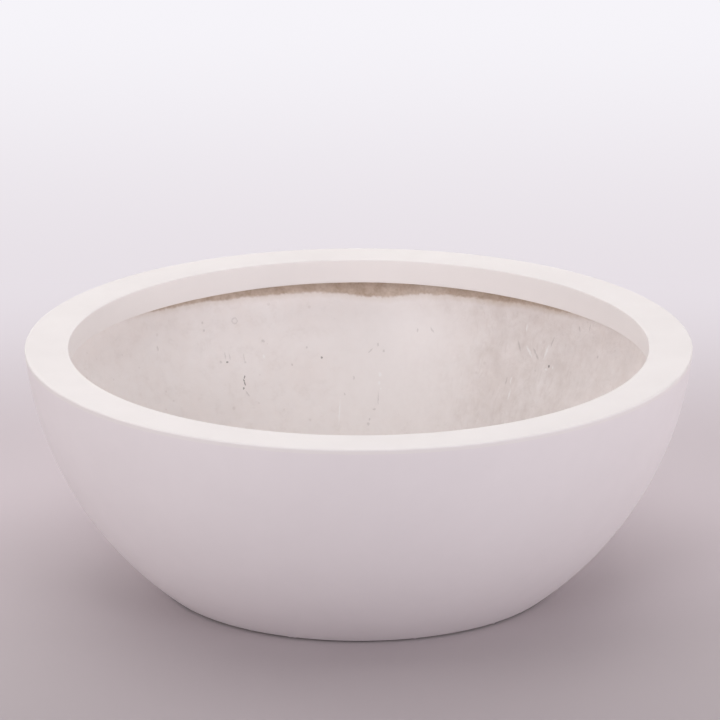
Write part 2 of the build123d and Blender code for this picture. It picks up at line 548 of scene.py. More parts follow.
def ring_relief(grid, around):
    """Mould waviness on the finished faces, lumps of raw laminate behind and below."""
    radius = np.hypot(grid[:, :, 0], grid[:, :, 1])
    height = grid[:, :, 2]
    behind_lip = soft_step(radius, mouth_radius + 2 * MM, lip_back)
    behind = behind_lip * soft_step(height, rim_height - 2 * MM, joint_height)
    free = behind * soft_step(radius, under_ring, under_ring - 6 * MM)
    finish = (1 - behind) * soft_step(np.abs(height - joint_height), 0, 2 * MM)
    waves = 0.06 * MM * (rough(grid, 80 * MM, 61, 2) - 1.5) / 2 * finish
    raw_lumps = 0.45 * MM * rough(grid, 8 * MM, 71, 2) * free
    return waves + raw_lumps


ring = turned_piece("rim_ring_moulding", ring_profile, around_ring, relief=ring_relief)
reshape_piece(ring, trimmed_lip)

# %% [markdown]
# ## The putty bead and the doubler
#
# The bead is squeezed into the corner under the rim and wiped with a finger, so it is hollow and
# uneven. The doubler is a disc of extra mat laid on the floor before the drain hole was drilled:
# its edge is ragged, because cut mat frays, and it lies under the same coat as the floor.

# %% Build the bead
bead_leg = 18 * MM
bead_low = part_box("rim_bond_bead")[0].z
bead_corner = np.array([under_ring, joint_height])
bead_inner = np.array([under_ring - bead_leg, joint_height])
bead_foot = np.array([float(wall_radius(bead_low, wall_thickness)), bead_low])
bead_middle = (bead_inner + bead_foot) / 2
bead_hollow = 3.5 * MM
bead_pull = (bead_corner - bead_middle) / np.linalg.norm(bead_corner - bead_middle) * bead_hollow
share = np.linspace(0, 1, 10, endpoint=False)[:, None]
bead_face = bead_inner + share * (bead_foot - bead_inner) + 4 * share * (1 - share) * bead_pull
bead_profile = np.concatenate(
    [
        wall_run(bead_low, joint_height, wall_thickness, 6),
        straight(bead_corner, bead_inner, 5),
        bead_face,
    ]
)


def bead_relief(grid, around):
    """Finger-wiped unevenness on the free face; the two faces that are stuck down stay put."""
    free = np.zeros(len(bead_profile))
    free[-len(bead_face) :] = np.sin(np.linspace(0, math.pi, len(bead_face)))
    return (0.9 * MM * rough(grid, 14 * MM, 81, 3) * free[:, None]) * np.ones_like(around)


bead = turned_piece("putty_bead", bead_profile, all_round(720), relief=bead_relief)

# %% Build the doubler
doubler_radius = doubler_high.x
doubler_slope = 8 * MM
doubler_profile = np.concatenate(
    [
        straight((drain_radius, floor_height), (doubler_radius, floor_height), 6),
        straight((doubler_radius, floor_height), (doubler_radius - doubler_slope, doubler_top), 6),
        straight((doubler_radius - doubler_slope, doubler_top), (drain_radius, doubler_top), 56),
        straight((drain_radius, doubler_top), (drain_radius, floor_height), 2),
    ]
)


def strand_mat(places, seed, strands=5):
    """Chopped strands: long narrow noise turned several ways, and the highest strand wins."""
    total = np.full(places.shape[:-1], -1.0)
    for turn in range(strands):
        angle = math.pi * (turn + 0.35) / strands
        along = places[..., 0] * math.cos(angle) + places[..., 1] * math.sin(angle)
        across = places[..., 1] * math.cos(angle) - places[..., 0] * math.sin(angle)
        laid = np.stack([along, across, np.zeros_like(along)], axis=-1)
        total = np.maximum(total, lumps(laid, (42 * MM, 3.2 * MM, 1.0), seed + turn))
    return total


def doubler_relief(grid, around):
    """Strands of mat and soft lumps on the top and slope, none on the seat or in the hole."""
    radius = np.hypot(grid[:, :, 0], grid[:, :, 1])
    height = grid[:, :, 2]
    from_hole = soft_step(radius, drain_radius + 7 * MM, drain_radius + 16 * MM)
    top = soft_step(height, floor_height, doubler_top) * from_hole
    strands = 0.28 * MM * strand_mat(grid, 91)
    soft_lumps = 0.25 * MM * rough(grid, 22 * MM, 95, 2)
    return (strands + soft_lumps) * top


def frayed(points):
    """The points with the doubler's edge pulled in and out by noise of the direction alone."""
    radius = np.hypot(points[:, 0], points[:, 1])
    direction = points / np.maximum(radius[:, None], MM) * doubler_radius
    fray = 3.5 * MM * rough(direction * [1, 1, 0], 26 * MM, 101, 3) - 2 * MM
    pull = soft_step(radius, doubler_radius - 3 * doubler_slope, doubler_radius - doubler_slope) * fray
    moved = points.copy()
    moved[:, :2] *= (1 + pull / np.maximum(radius, MM))[:, None]
    return moved


doubler = turned_piece("drain_doubler", doubler_profile, all_round(720), relief=doubler_relief)
reshape_piece(doubler, frayed)

# %% [markdown]
# ## The drain plug and the foot pads
#
# Both are moulded rubber. The plug is a tapered stopper with a flange and a knob to pull it by. Its
# profile starts and ends on the axis, so it closes to a point at both ends. A shallow dimple in the
# knob, a groove round the flange and the thin line where the mould's halves met are what make it
# read as moulded rubber and not as a turned shape.

# %% Build the plug
plug_tip = plug_low.z
tip_chamfer = 1.5 * MM
plug_taper = math.radians(3)
stopper_top_radius = drain_radius - 0.1 * MM
stopper_tip_radius = stopper_top_radius - (doubler_top - plug_tip) * math.tan(plug_taper)
flange_radius = plug_high.x
flange_top = doubler_top + 3 * MM
groove_bottom = flange_top - 0.5 * MM
waist_radius, head_radius = 5.5 * MM, 9 * MM
head_bottom, head_top = flange_top + 5 * MM, plug_high.z
dimple_bottom = head_top - 0.9 * MM
mould_line = head_bottom + 3.5 * MM
rounding = 1.4 * MM


def knob_side():
    """The knob's side with the thin ridge that the mould's parting left halfway up."""
    height = np.linspace(head_bottom + rounding, head_top - rounding, 15)[1:-1]
    return np.stack([head_radius + 0.18 * MM * hump(height, mould_line, 0.35 * MM), height], axis=1)


tip = (stopper_tip_radius - tip_chamfer, plug_tip)
tip_side = (stopper_tip_radius, plug_tip + tip_chamfer)
stopper_top = (stopper_top_radius, doubler_top)
flange_foot, flange_edge = (flange_radius, doubler_top), (flange_radius, flange_top)
waist_foot, waist_top = (waist_radius, flange_top), (waist_radius, head_bottom)
head_foot, head_edge = (head_radius, head_bottom), (head_radius, head_top)
groove_outer, groove_inner = (flange_radius - 2 * MM, flange_top), (flange_radius - 4 * MM, flange_top)
groove_middle = (flange_radius - 3 * MM, groove_bottom)
dimple_edge = (head_radius - 2.2 * MM, head_top)
dimple_slope = (head_radius - 4.5 * MM, head_top - 0.8 * MM)
plug_profile = np.concatenate(
    [
        straight((1 * MM, plug_tip), tip, 4),
        straight(tip, tip_side, 3),
        straight(tip_side, stopper_top, 6),
        straight(stopper_top, flange_foot, 4),
        straight(flange_foot, (flange_radius, flange_top - 1.2 * MM), 3),
        bend(flange_foot, flange_edge, waist_foot, 1 * MM, 6),
        straight(groove_outer, groove_middle, 2),
        straight(groove_middle, groove_inner, 2),
        straight(groove_inner, (waist_radius + 2 * MM, flange_top), 5),
        bend(flange_edge, waist_foot, waist_top, rounding, 6),
        bend(waist_foot, waist_top, head_foot, rounding, 6),
        bend(waist_top, head_foot, head_edge, rounding, 6),
        knob_side(),
        bend(head_foot, head_edge, (0, head_top), rounding, 6),
        straight(dimple_edge, dimple_slope, 4),
        straight(dimple_slope, (0.8 * MM, dimple_bottom), 4),
    ]
)
plug = turned_piece("rubber_plug", plug_profile, all_round(96), closed=False, sharp_angle=50)

# %% Build the foot pads
pad_names = sorted(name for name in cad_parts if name.startswith("foot_pad"))
pad_recess = 0.5 * MM


def build_pad(node):
    """One pad: a disc with a rounded lower edge and a shallow recess, swung round its own middle."""
    low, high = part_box(node)
    radius = (high.x - low.x) / 2
    top = high.z
    recess_radius, foot_radius = radius * 0.62, radius * 0.68
    profile = np.concatenate(
        [
            straight((1 * MM, pad_recess), (recess_radius, pad_recess), 4),
            straight((recess_radius, pad_recess), (foot_radius, 0), 3),
            straight((foot_radius, 0), (radius - 1 * MM, 0), 4),
            bend((0, 0), (radius, 0), (radius, top), 0.6 * MM, 5),
            straight((radius, 0.8 * MM), (radius, top - 0.3 * MM), 3),
            bend((radius, 0), (radius, top), (0, top), 0.25 * MM, 4),
            straight((radius - 1 * MM, top), (1 * MM, top), 3),
        ]
    )
    pad = turned_piece(node + "_rubber", profile, all_round(72), closed=False, sharp_angle=50)
    middle = [(low.x + high.x) / 2, (low.y + high.y) / 2, 0]
    reshape_piece(pad, lambda points: points + middle)
    return pad


pads = {node: build_pad(node) for node in pad_names}

# %% [markdown]
# ## Materials: a shorthand for nodes
#
# A node material in code is mostly the same three steps: add a node, set its options, join its
# inputs. One helper does all three, and everything below reads as a list of nodes. An effect that
# several materials share is a node group with named inputs and outputs, built once.


# %% Helpers for node trees
def node(tree, kind, inputs=None, **settings):
    """Adds a node, sets its options, and fills each input with a value or joins it to a socket."""
    made = tree.nodes.new(kind)
    for option, value in settings.items():
        setattr(made, option, value)
    for socket, value in (inputs or {}).items():
        if isinstance(value, bpy.types.NodeSocket):
            tree.links.new(value, made.inputs[socket])
        else:
            made.inputs[socket].default_value = value
    return made


def blend_colours(tree, factor, first, second):
    """Mix node for colours: first where factor is 0, second where it is 1."""
    return node(tree, "ShaderNodeMix", {0: factor, 6: first, 7: second}, data_type="RGBA").outputs[2]


def sums(tree, operation, first, second):
    """Math node on two numbers or sockets."""
    return node(tree, "ShaderNodeMath", {0: first, 1: second}, operation=operation).outputs[0]


def times(tree, first, second):
    """The product of two numbers or sockets."""
    return sums(tree, "MULTIPLY", first, second)


def tint(tree, colour, onto, mask, share):
    """The colour moved towards another one by a share of the mask."""
    return blend_colours(tree, times(tree, mask, share), colour, onto)


def noise(tree, place, scale, detail, roughness=0.5):
    """Noise texture, a value round one half."""
    inputs = {"Vector": place, "Scale": scale, "Detail": detail, "Roughness": roughness}
    return node(tree, "ShaderNodeTexNoise", inputs).outputs[0]


def ramp(tree, value, low, high, to_low=0.0, to_high=1.0):
    """Map Range node with a smooth step from low to high."""
    inputs = {"Value": value, "From Min": low, "From Max": high, "To Min": to_low, "To Max": to_high}
    return node(tree, "ShaderNodeMapRange", inputs, interpolation_type="SMOOTHSTEP").outputs[0]


def new_group(name, inputs, outputs):
    """A node group with named sockets; returns the tree and its input and output nodes."""
    tree = bpy.data.node_groups.new(name, "ShaderNodeTree")
    for direction, sockets in (("INPUT", inputs), ("OUTPUT", outputs)):
        for title, kind in sockets:
            tree.interface.new_socket(name=title, in_out=direction, socket_type="NodeSocket" + kind)
    return tree, tree.nodes.new("NodeGroupInput"), tree.nodes.new("NodeGroupOutput")


def use_group(tree, group, *values):
    """Places a node group in a tree, fills its inputs in their order and returns its output."""
    return node(tree, "ShaderNodeGroup", dict(enumerate(values)), node_tree=group).outputs[0]


def new_material(name):
    """An empty node material with its output and Principled shader joined; returns all three."""
    material = bpy.data.materials.new(name)
    material.use_nodes = True
    tree = material.node_tree
    tree.nodes.clear()
    shader = tree.nodes.new("ShaderNodeBsdfPrincipled")
    output = tree.nodes.new("ShaderNodeOutputMaterial")
    tree.links.new(shader.outputs[0], output.inputs[0])
    return material, tree, shader


def object_place(tree):
    """The place on the object, in metres."""
    return node(tree, "ShaderNodeTexCoord").outputs["Object"]


def attribute(tree, name, socket="Fac"):
    """A value that the mesh keeps at each vertex."""
    return node(tree, "ShaderNodeAttribute", attribute_name=name).outputs[socket]


def finish(tree, shader, colour, roughness, relief, strength, distance, invert=False):
    """Joins a finish to its shader: colour, roughness, and a relief of so many metres as a bump."""
    inputs = {"Height": relief, "Strength": strength, "Distance": distance}
    bump = node(tree, "ShaderNodeBump", inputs, invert=invert).outputs[0]
    for socket, value in (("Base Color", colour), ("Roughness", roughness), ("Normal", bump)):
        tree.links.new(value, shader.inputs[socket])


def rgb(red, green, blue):
    """A colour written as on screen, 0 to 255, turned to the linear values that shaders use."""
    screen = np.array([red, green, blue]) / 255
    linear = np.where(screen <= 0.04045, screen / 12.92, ((screen + 0.055) / 1.055) ** 2.4)
    return (*linear.tolist(), 1.0)


# %% [markdown]
# ## Effects that finishes share
#
# Mottle is cloudy variation: two noises of different size mixed and pushed apart in contrast. Pores
# are small round marks, few of them: the cells of a Voronoi texture, kept only where the cell's own
# random colour says so. Grain is fine relief at two sizes for a Bump node.

# %% The groups
cloud_share = 0.65
cloud_step = 4.3
mottle, mottle_in, mottle_out = new_group(
    "mottle", [("Place", "Vector"), ("Patch size", "Float"), ("Contrast", "Float")], [("Mask", "Float")]
)
patch_scale = sums(mottle, "DIVIDE", 1.0, mottle_in.outputs["Patch size"])
cloud = noise(mottle, mottle_in.outputs["Place"], patch_scale, 4.0)
finer = noise(mottle, mottle_in.outputs["Place"], times(mottle, patch_scale, cloud_step), 3.0)
both = sums(mottle, "ADD", times(mottle, cloud, cloud_share), times(mottle, finer, 1 - cloud_share))
pushed = times(mottle, sums(mottle, "SUBTRACT", both, 0.5), mottle_in.outputs["Contrast"])
centred = node(mottle, "ShaderNodeMath", {0: pushed, 1: 0.5}, operation="ADD", use_clamp=True)
mottle.links.new(centred.outputs[0], mottle_out.inputs["Mask"])

least_pore = 0.35
pore_edge = 2.2
pores, pores_in, pores_out = new_group(
    "pores",
    [("Place", "Vector"), ("Spacing", "Float"), ("Share", "Float"), ("Size", "Float")],
    [("Mask", "Float")],
)
pore_scale = sums(pores, "DIVIDE", 1.0, pores_in.outputs["Spacing"])
cells = node(pores, "ShaderNodeTexVoronoi", {"Vector": pores_in.outputs["Place"], "Scale": pore_scale})
chosen = node(pores, "ShaderNodeSeparateColor", {0: cells.outputs["Color"]})
is_pore = sums(pores, "LESS_THAN", chosen.outputs[0], pores_in.outputs["Share"])
pore_radius = times(pores, pores_in.outputs["Size"], sums(pores, "ADD", chosen.outputs[1], least_pore))
inside_pore = sums(pores, "SUBTRACT", 1.0, sums(pores, "DIVIDE", cells.outputs["Distance"], pore_radius))
steep = {0: inside_pore, 1: pore_edge}
soft_pore = node(pores, "ShaderNodeMath", steep, operation="MULTIPLY", use_clamp=True)
pores.links.new(times(pores, soft_pore.outputs[0], is_pore), pores_out.inputs["Mask"])

grain_step = 5.0
grain, grain_in, grain_out = new_group(
    "grain", [("Place", "Vector"), ("Size", "Float"), ("Fine share", "Float")], [("Height", "Float")]
)
grain_scale = sums(grain, "DIVIDE", 1.0, grain_in.outputs["Size"])
broad_grain = noise(grain, grain_in.outputs["Place"], grain_scale, 2.0)
fine_grain = noise(grain, grain_in.outputs["Place"], times(grain, grain_scale, grain_step), 3.0)
both_grains = {0: grain_in.outputs["Fine share"], 2: broad_grain, 3: fine_grain}
mixed_grain = node(grain, "ShaderNodeMix", both_grains, data_type="FLOAT")
grain.links.new(mixed_grain.outputs[0], grain_out.inputs["Height"])


def mottled(tree, place, patch, contrast):
    """Cloudy mask, 0 to 1, with patches of so many metres."""
    return use_group(tree, mottle, place, patch, contrast)


def pored(tree, place, spacing, chosen, size):
    """Round marks: so far apart in metres, in a chosen share of the cells, sized by the spacing."""
    return use_group(tree, pores, place, spacing, chosen, size)


def grained(tree, place, size, fine):
    """Fine relief, 0 to 1: grains of so many metres, and a share of finer ones."""
    return use_group(tree, grain, place, size, fine)


print("groups:", [group.name for group in bpy.data.node_groups])

# %% [markdown]
# ## White gelcoat
#
# Gelcoat is the pigmented resin that was sprayed into the mould first. It is satin: a soft sheen and
# no mirror image. Rubbing it down left very fine lines that run round the bowl, so the relief is
# noise that is stretched along the rim and squeezed in height. The ring's white is a shade warmer
# than the bowl's, and the bowl's is a little cooler: painted light, the warmer light from above on
# the rim and lip against the cooler front light on the wall.

# %% Make the gelcoat
bowl_white, bowl_shade = rgb(232, 224, 225), rgb(227, 219, 220)
# Painted warm light: the ring's white is warmed a shade to stand for the warmer light from above on the rim
# and lip.
ring_white_painted_warm, ring_shade_painted_warm = rgb(234, 227, 225), rgb(229, 222, 220)
dust_colour = rgb(150, 138, 132)
rubbing_stretch = (60.0, 60.0, 900.0)


def make_gelcoat(name, white, shade):
    """Satin white with cloudy tone, fine rubbed lines and rare dust specks."""
    material, tree, shader = new_material(name)
    place = object_place(tree)
    clouds = mottled(tree, place, patch=0.11, contrast=1.6)
    tone = blend_colours(tree, clouds, white, shade)
    specks = pored(tree, place, spacing=0.019, chosen=0.05, size=0.035)
    colour = tint(tree, tone, dust_colour, specks, share=0.22)
    stretched = node(tree, "ShaderNodeMapping", {"Vector": place, "Scale": rubbing_stretch}).outputs[0]
    lines = noise(tree, stretched, 1.0, 3.0)
    peel = grained(tree, place, size=0.004, fine=0.35)
    roughness = ramp(tree, clouds, 0.0, 1.0, 0.40, 0.50)
    relief = sums(tree, "ADD", lines, peel)
    finish(tree, shader, colour, roughness, relief, strength=0.25, distance=0.06 * MM)
    return material


bowl_gelcoat = make_gelcoat("bowl_gelcoat", bowl_white, bowl_shade)
ring_gelcoat_painted_warm = make_gelcoat("ring_gelcoat_painted_warm", ring_white_painted_warm, ring_shade_painted_warm)

# %% [markdown]
# ## The brushed inside coat
#
# Inside, a warm off-white coat was brushed and sprayed over bare laminate. Above its edge the brown
# resin shows. The edge isn't a line: spray thins out over a few millimetres, and a noise moves it up
# and down. The five things that the mesh keeps steer the material: strokes are drawn along the
# brush's path where it was dry, and the trowelled patch is cleaner and shinier, and also brightened
# in colour as a painted highlight. The few marks that catch the eye are placed one by one, as a
# laminator's slips are: each is a round or long spot at its own bearing and height. The pale ridges
# among them are painted highlights.

# %% Marks on the inside wall
# Each mark is a bearing in degrees, then its height, half width and half height in millimetres, and
# how far it leans to the right in degrees.
deep_pits = [
    (-7.5, 154, 1.7, 1.7, 0),
    (-27.2, 159, 1.8, 1.7, 0),
    (-24.1, 140, 1.2, 2.8, 25),
    (-24.4, 136.5, 1.1, 2.6, -10),
    (-24.3, 133, 1.1, 2.8, -10),
    (-24.8, 128, 1.6, 1.7, 0),
    (40.7, 167, 1.8, 2.2, 0),
]
faint_marks = [
    (2.4, 88, 1.9, 2.2, 0),
    (2.2, 83, 2.8, 2.0, 0),
    (2.3, 161, 1.3, 5.0, 45),
    (-27.4, 166, 0.9, 5.5, 0),
    (-26.5, 164, 0.9, 5.0, 0),
    (-23.5, 161, 1.0, 6.0, 0),
    (-23.4, 156, 1.9, 1.7, 0),
    (-24.2, 122, 1.1, 5.0, -30),
    (-28.6, 160, 2.6, 2.0, 0),
    (-19.1, 177, 3.4, 2.4, 30),
    (-31.2, 207, 1.8, 2.2, 0),
    (-31.1, 198, 1.8, 1.8, 0),
    (-42.3, 189, 1.4, 4.0, 0),
    (-10.4, 166, 1.7, 2.2, 0),
    (-13.7, 148, 1.8, 1.8, 0),
    (-1.0, 131, 1.4, 2.6, 0),
    (-3.0, 114, 1.6, 2.2, 0),
    (3.8, 168, 1.4, 2.8, 0),
    (5.0, 161, 1.6, 2.2, 0),
    (4.2, 110, 0.9, 9.0, 0),
    (3.4, 98, 3.0, 1.4, 0),
    (11.5, 186, 1.2, 3.0, 0),
    (14.4, 187, 1.2, 5.0, -42),
    (32.9, 182, 1.7, 9.0, -29),
    (37.0, 177, 1.7, 11.0, -43),
    (40.2, 194, 1.4, 8.0, 10),
    (31.7, 142, 1.4, 5.0, 0),
    (48.7, 222, 0.9, 6.0, 0),
    (52.4, 193, 1.8, 2.6, 0),
    (46.1, 217, 1.2, 5.0, -25),
]
# Pale ridges are painted highlights: glints on raised drips and ridges, put in as pale colour.
pale_ridges_painted_highlight = [
    (4.4, 135, 2.6, 3.0, 0),
    (4.3, 126, 1.9, 2.8, 0),
    (4.7, 120, 1.2, 1.4, 0),
    (-4.3, 96, 1.3, 17.0, 8),
    (-19.3, 160, 2.0, 2.4, 0),
    (35.4, 178, 1.8, 10.0, -42),
    (39.3, 182, 1.7, 10.0, 10),
    (33.9, 204, 1.2, 6.0, 0),
    (33.2, 128, 1.4, 7.0, 0),
    (32.7, 143, 1.2, 5.0, 0),
    (40.2, 163, 3.2, 1.7, 0),
    (41.6, 167, 1.2, 2.4, 0),
]
bubble = (-24.4, 203.5, 4.4, 4.4, 0)
faint_share = 0.27
bubble_share = 0.22


def from_spot(tree, place, bearing, height, wide, tall, lean):
    """Distance from an oval mark, 0 in its middle and 1 at its rim: the place turned and scaled."""
    angle = math.radians(bearing)
    middle = (unroll_radius * math.sin(angle), unroll_radius * math.cos(angle), height * MM)
    turn = (0.0, math.radians(lean), -angle)
    size = (wide * MM, 2 * max(wide, tall) * MM, tall * MM)
    inputs = {"Vector": place, "Location": middle, "Rotation": turn, "Scale": size}
    scaled = node(tree, "ShaderNodeMapping", inputs, vector_type="TEXTURE").outputs[0]
    return node(tree, "ShaderNodeVectorMath", {0: scaled}, operation="LENGTH").outputs["Value"]


def all_spots(tree, place, spots):
    """1 inside any of the marks and 0 outside: the least of their distances, turned to a mask."""
    nearest = None
    for spot in spots:
        distance = from_spot(tree, place, *spot)
        nearest = distance if nearest is None else sums(tree, "MINIMUM", nearest, distance)
    return ramp(tree, nearest, 1.0, 0.4)


def wobbled(tree, place, size, reach):
    """The place pushed about by noise, so that marks drawn in it have ragged outlines."""
    coloured = node(tree, "ShaderNodeTexNoise", {"Vector": place, "Scale": 1 / size, "Detail": 2.0})
    middle = {0: coloured.outputs["Color"], 1: (0.5, 0.5, 0.5)}
    pushed = node(tree, "ShaderNodeVectorMath", middle, operation="SUBTRACT").outputs[0]
    scaled = node(tree, "ShaderNodeVectorMath", {0: pushed, "Scale": reach}, operation="SCALE").outputs[0]
    return node(tree, "ShaderNodeVectorMath", {0: place, 1: scaled}, operation="ADD").outputs[0]


# %% Colours of the inside
coat_colour = rgb(248, 242, 240)
coat_warm = rgb(246, 238, 235)
coat_grey = rgb(238, 231, 229)
coat_dry = rgb(221, 210, 205)
coat_thin = rgb(216, 199, 184)
coat_fleck = rgb(186, 172, 166)
mark_dark = rgb(92, 76, 70)
# The pale of the ridges' painted highlights.
painted_highlight_white = rgb(255, 253, 252)
laminate_brown = rgb(212, 194, 180)
laminate_dark = rgb(184, 162, 144)


# %% Layers of the inside coat
stroke_stretch = (190.0, 190.0, 46.0)
stroke_relief = 1.8
dry_roughness = 0.25
smooth_shine = 0.15


def coat_ground(tree, place):
    """The coat everywhere: clouds, smudges, flecks and pinholes, as colour, relief and roughness."""
    clouds = mottled(tree, place, patch=0.045, contrast=3.0)
    colour = blend_colours(tree, clouds, coat_colour, coat_warm)
    small_clouds = mottled(tree, place, patch=0.009, contrast=2.6)
    colour = tint(tree, colour, coat_grey, small_clouds, share=0.30)
    smudges = ramp(tree, mottled(tree, place, patch=0.016, contrast=2.2), 0.45, 1.0)
    colour = tint(tree, colour, coat_dry, smudges, share=0.24)
    flecks = pored(tree, place, spacing=0.010, chosen=0.16, size=0.22)
    colour = tint(tree, colour, coat_fleck, flecks, share=0.18)
    holes = pored(tree, place, spacing=0.021, chosen=0.07, size=0.05)
    colour = tint(tree, colour, mark_dark, holes, share=0.15)
    grit = grained(tree, place, size=0.006, fine=0.45)
    return colour, sums(tree, "SUBTRACT", grit, holes), ramp(tree, clouds, 0.0, 1.0, 0.42, 0.56)


def brush_strokes(tree, unrolled_place, dry, colour, height):
    """Adds dark and pale strokes along the brush's path, and patches, as strong as it was dry."""
    brush_path = {"Vector": attribute(tree, "along_brush", "Vector"), "Scale": stroke_stretch}
    strokes = noise(tree, node(tree, "ShaderNodeMapping", brush_path).outputs[0], 1.0, 4.0, roughness=0.6)
    dark_strokes = times(tree, ramp(tree, strokes, 0.50, 0.70), dry)
    colour = tint(tree, colour, coat_dry, dark_strokes, share=0.28)
    pale_strokes = times(tree, ramp(tree, strokes, 0.46, 0.32), dry)
    colour = tint(tree, colour, coat_colour, pale_strokes, share=0.25)
    dry_patches = times(tree, dry, mottled(tree, unrolled_place, patch=0.026, contrast=2.6))
    colour = tint(tree, colour, coat_dry, dry_patches, share=0.60)
    grooves = times(tree, times(tree, strokes, dry), stroke_relief)
    return colour, sums(tree, "ADD", height, grooves)


def placed_marks(tree, unrolled_place, colour):
    """Adds the marks set one by one: pits, faint marks and the bubble's ring, then pale ridges as painted
    highlights.
    """
    mark_place = wobbled(tree, unrolled_place, 3 * MM, 2.4 * MM)
    deep = all_spots(tree, mark_place, deep_pits)
    faint = times(tree, all_spots(tree, mark_place, faint_marks), faint_share)
    from_bubble = from_spot(tree, mark_place, *bubble)
    bubble_ring = times(tree, ramp(tree, from_bubble, 1.0, 0.8), ramp(tree, from_bubble, 0.4, 0.7))
    dark = sums(tree, "MAXIMUM", sums(tree, "MAXIMUM", deep, faint), times(tree, bubble_ring, bubble_share))
    colour = tint(tree, colour, mark_dark, dark, share=0.68)
    return tint(tree, colour, painted_highlight_white, all_spots(tree, mark_place, pale_ridges_painted_highlight), share=0.6)


def resin_brown(tree, place, patch, contrast):
    """Brown of bare resin, in two shades; returns the colour and the mask between them."""
    resin = mottled(tree, place, patch, contrast)
    return blend_colours(tree, resin, laminate_brown, laminate_dark), resin


def fading_edge(tree, place, unrolled_place, dry, colour):
    """The coat thinning out towards its upper edge, and bare resin above it."""
    edge_noise = mottled(tree, unrolled_place, patch=0.016, contrast=2.0)
    moved = sums(tree, "ADD", attribute(tree, "above_coat"), ramp(tree, edge_noise, 0.0, 1.0, -1.5, 1.5))
    spray = mottled(tree, unrolled_place, patch=0.005, contrast=2.6)
    moved = sums(tree, "ADD", moved, ramp(tree, spray, 0.0, 1.0, -0.4, 0.4))
    haze = times(tree, ramp(tree, moved, -9.0, 1.0), ramp(tree, dry, 0.1, 0.8, 0.30, 0.70))
    colour = blend_colours(tree, haze, colour, coat_thin)
    brown = resin_brown(tree, place, 0.012, 3.2)[0]
    return blend_colours(tree, ramp(tree, moved, -2.2, 1.6), colour, brown)


# %% Make the inside coat and the raw laminate
def make_inside_coat():
    """The brushed coat with its strokes, its placed marks, its edge and the raw band above."""
    material, tree, shader = new_material("inside_coat")
    place = object_place(tree)
    unrolled_place = attribute(tree, "unrolled", "Vector")
    dry = attribute(tree, "dry_brush")
    smooth = attribute(tree, "trowelled_highlight")
    colour, height, roughness = coat_ground(tree, place)
    roughness = sums(tree, "ADD", roughness, times(tree, dry, dry_roughness))
    roughness = sums(tree, "SUBTRACT", roughness, times(tree, smooth, smooth_shine))
    # Partly painted highlight: the trowelled patch's colour is pulled towards the clean bright coat,
    # standing for the soft highlight on it as well as a cleaner coat.
    colour = tint(tree, colour, coat_colour, smooth, share=0.8)
    colour, height = brush_strokes(tree, unrolled_place, dry, colour, height)
    colour = placed_marks(tree, unrolled_place, colour)
    colour = fading_edge(tree, place, unrolled_place, dry, colour)
    finish(tree, shader, colour, roughness, height, strength=0.6, distance=0.6 * MM)
    return material


def make_floor_coat():
    """The brushed coat alone, as it lies on the doubler."""
    material, tree, shader = new_material("floor_coat")
    colour, height, roughness = coat_ground(tree, object_place(tree))
    finish(tree, shader, colour, roughness, height, strength=0.6, distance=0.6 * MM)
    return material


def make_raw_laminate():
    """Uncoated resin and glass: brown and mottled, a little glossy where the resin pooled."""
    material, tree, shader = new_material("raw_laminate")
    place = object_place(tree)
    brown, resin = resin_brown(tree, place, 0.014, 3.0)
    relief = grained(tree, place, size=0.005, fine=0.5)
    roughness = ramp(tree, resin, 0.0, 1.0, 0.38, 0.62)
    finish(tree, shader, brown, roughness, relief, strength=0.8, distance=1 * MM)
    return material


inside_finish = make_inside_coat()
floor_finish = make_floor_coat()
raw_laminate = make_raw_laminate()
print("materials so far:", [material.name for material in bpy.data.materials])

# %% [markdown]
# ## The base's underside and the rubber
#
# The underside was rubbed down flat after trimming, so it is matt, a little grey, and scratched in
# all directions. Rubber is the opposite of the gelcoat: dark, dull, with a fine grain and a little
# pale dust. Both reuse the shared groups with other values.


# %% Make the rubbed base and the rubber
base_white, base_shade, scratch_grey = rgb(208, 200, 198), rgb(190, 180, 176), rgb(160, 148, 142)
rubber_black, rubber_dust = rgb(38, 37, 38), rgb(92, 88, 86)
scratch_turns = (0.5, 1.9)
scratch_stretch = (18.0, 700.0, 1.0)


def make_rubbed_base():
    """Matt greyish white with short scratches: stretched noise laid in two directions."""
    material, tree, shader = new_material("rubbed_base")
    place = object_place(tree)
    clouds = mottled(tree, place, patch=0.05, contrast=2.6)
    colour = blend_colours(tree, clouds, base_white, base_shade)
    scratches = None
    for turn in scratch_turns:
        turned = {"Vector": place, "Rotation": (0.0, 0.0, turn), "Scale": scratch_stretch}
        scratch = noise(tree, node(tree, "ShaderNodeMapping", turned).outputs[0], 1.0, 2.0)
        scratch = ramp(tree, scratch, 0.60, 0.72)
        scratches = scratch if scratches is None else sums(tree, "MAXIMUM", scratches, scratch)
    colour = tint(tree, colour, scratch_grey, scratches, share=0.4)
    roughness = ramp(tree, clouds, 0.0, 1.0, 0.6, 0.75)
    finish(tree, shader, colour, roughness, scratches, strength=0.4, distance=0.2 * MM, invert=True)
    return material


def make_rubber():
    """Matt black rubber with a fine grain and pale dust in patches."""
    material, tree, shader = new_material("black_rubber")
    place = object_place(tree)
    dust = mottled(tree, place, patch=0.006, contrast=3.0)
    colour = tint(tree, rubber_black, rubber_dust, dust, share=0.3)
    relief = grained(tree, place, size=0.0012, fine=0.5)
    roughness = ramp(tree, dust, 0.0, 1.0, 0.55, 0.8)
    finish(tree, shader, colour, roughness, relief, strength=0.4, distance=0.2 * MM)
    return material


rubbed_base = make_rubbed_base()
rubber = make_rubber()
print("materials:", len(bpy.data.materials))

